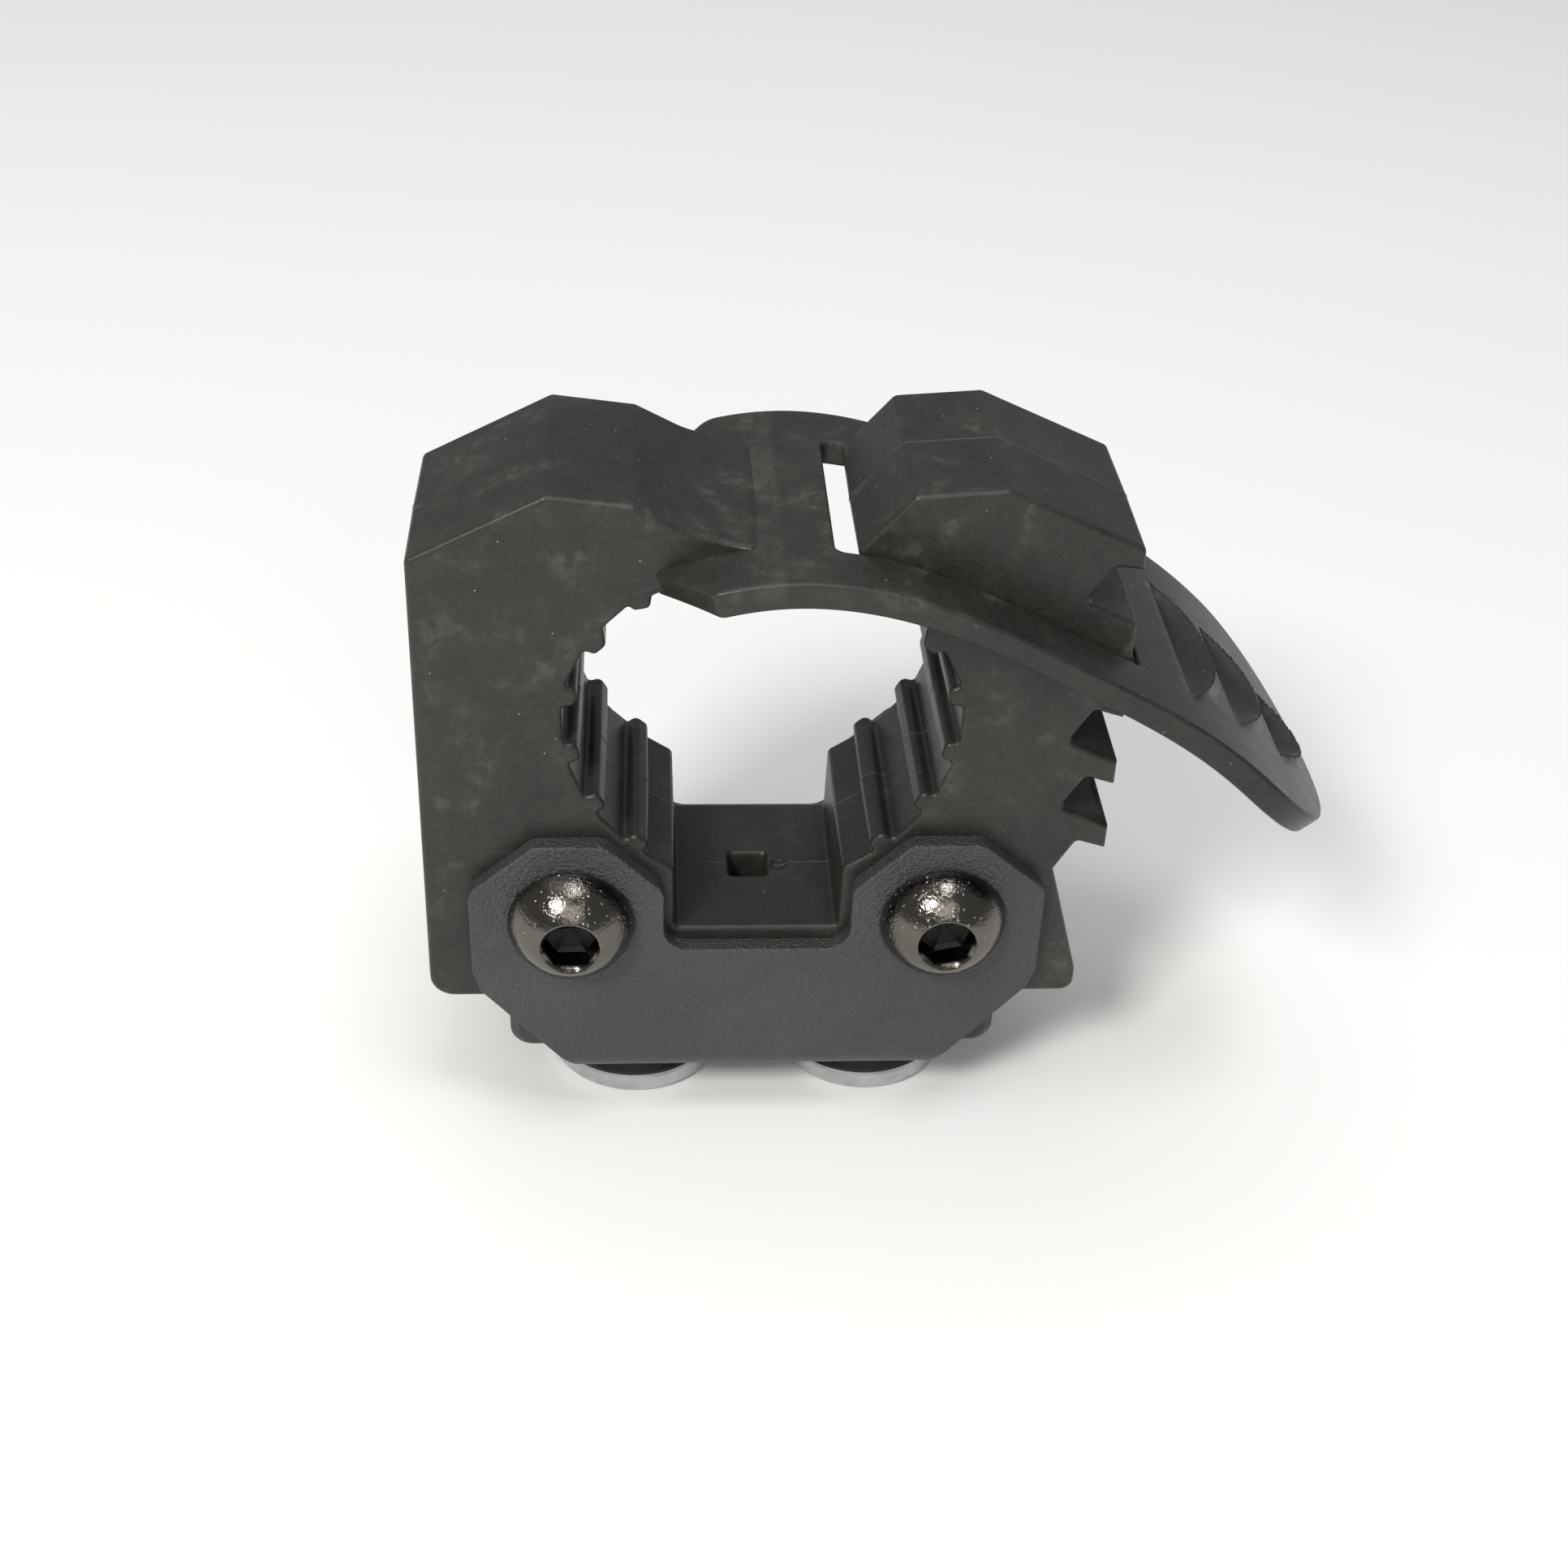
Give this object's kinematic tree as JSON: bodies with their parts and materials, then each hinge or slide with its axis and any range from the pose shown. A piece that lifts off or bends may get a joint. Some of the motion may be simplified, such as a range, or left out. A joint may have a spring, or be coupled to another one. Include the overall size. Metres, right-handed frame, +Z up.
{
  "type": "rubber tool clamp on track bracket",
  "caption": "Ribbed rubber tool clamp with a pull-over hooked strap, bolted into a folded steel bracket with tee studs that lock into slotted cargo track",
  "frame": {"origin": "centre of the bracket's underside, where it rests on the track, midway between the two tee studs", "axes": "+X along the track from the plain jaw to the toothed jaw, +Y across the track away from the viewer, +Z up"},
  "size_m": [0.0935, 0.036, 0.0755],
  "materials": {
    "rubber_black": "matte charcoal",
    "black_powder_coat": "fine textured black powder coat on steel",
    "spacer_black": "matte black",
    "screw_black_nickel": "glossy black nickel plate",
    "zinc_steel": "zinc plated"
  },
  "bodies": {
    "frame": {"bracket": "black_powder_coat", "spacer_block": "spacer_black", "clamp_base": "rubber_black", "clamp_screw_front_left": "screw_black_nickel", "clamp_screw_front_right": "screw_black_nickel", "clamp_screw_back_left": "screw_black_nickel", "clamp_screw_back_right": "screw_black_nickel", "threaded_sleeve_left": "zinc_steel", "threaded_sleeve_right": "zinc_steel", "track_stud_left": "zinc_steel", "track_stud_right": "zinc_steel", "stud_washer_left": "zinc_steel", "stud_washer_right": "zinc_steel", "stud_nut_left": "zinc_steel", "stud_nut_right": "zinc_steel"},
    "left_jaw": {"left_jaw": "rubber_black"},
    "right_jaw": {"right_jaw": "rubber_black"},
    "strap": {"strap": "rubber_black"},
    "strap_grip": {"strap_grip": "rubber_black"}
  },
  "joints": [
    {"name": "left_jaw_flex", "type": "hinge", "parent": "frame", "child": "left_jaw", "pos_m": [-0.0275, 0, 0.044], "axis": [0, -1, 0], "range_deg": [-1.5, 3], "stiffness_Nm_per_rad": 2.5},
    {"name": "right_jaw_flex", "type": "hinge", "parent": "frame", "child": "right_jaw", "pos_m": [0.0275, 0, 0.044], "axis": [0, 1, 0], "range_deg": [-2, 1], "stiffness_Nm_per_rad": 2.5},
    {"name": "strap_hinge", "type": "hinge", "parent": "left_jaw", "child": "strap", "pos_m": [-0.0002, 0, 0.06343], "axis": [0, -1, 0], "range_deg": [0, 120], "stiffness_Nm_per_rad": 0.03},
    {"name": "grip_flex", "type": "hinge", "parent": "strap", "child": "strap_grip", "pos_m": [0.04023, 0, 0.04681], "axis": [0, -1, 0], "range_deg": [-10, 25], "stiffness_Nm_per_rad": 0.03}
  ]
}
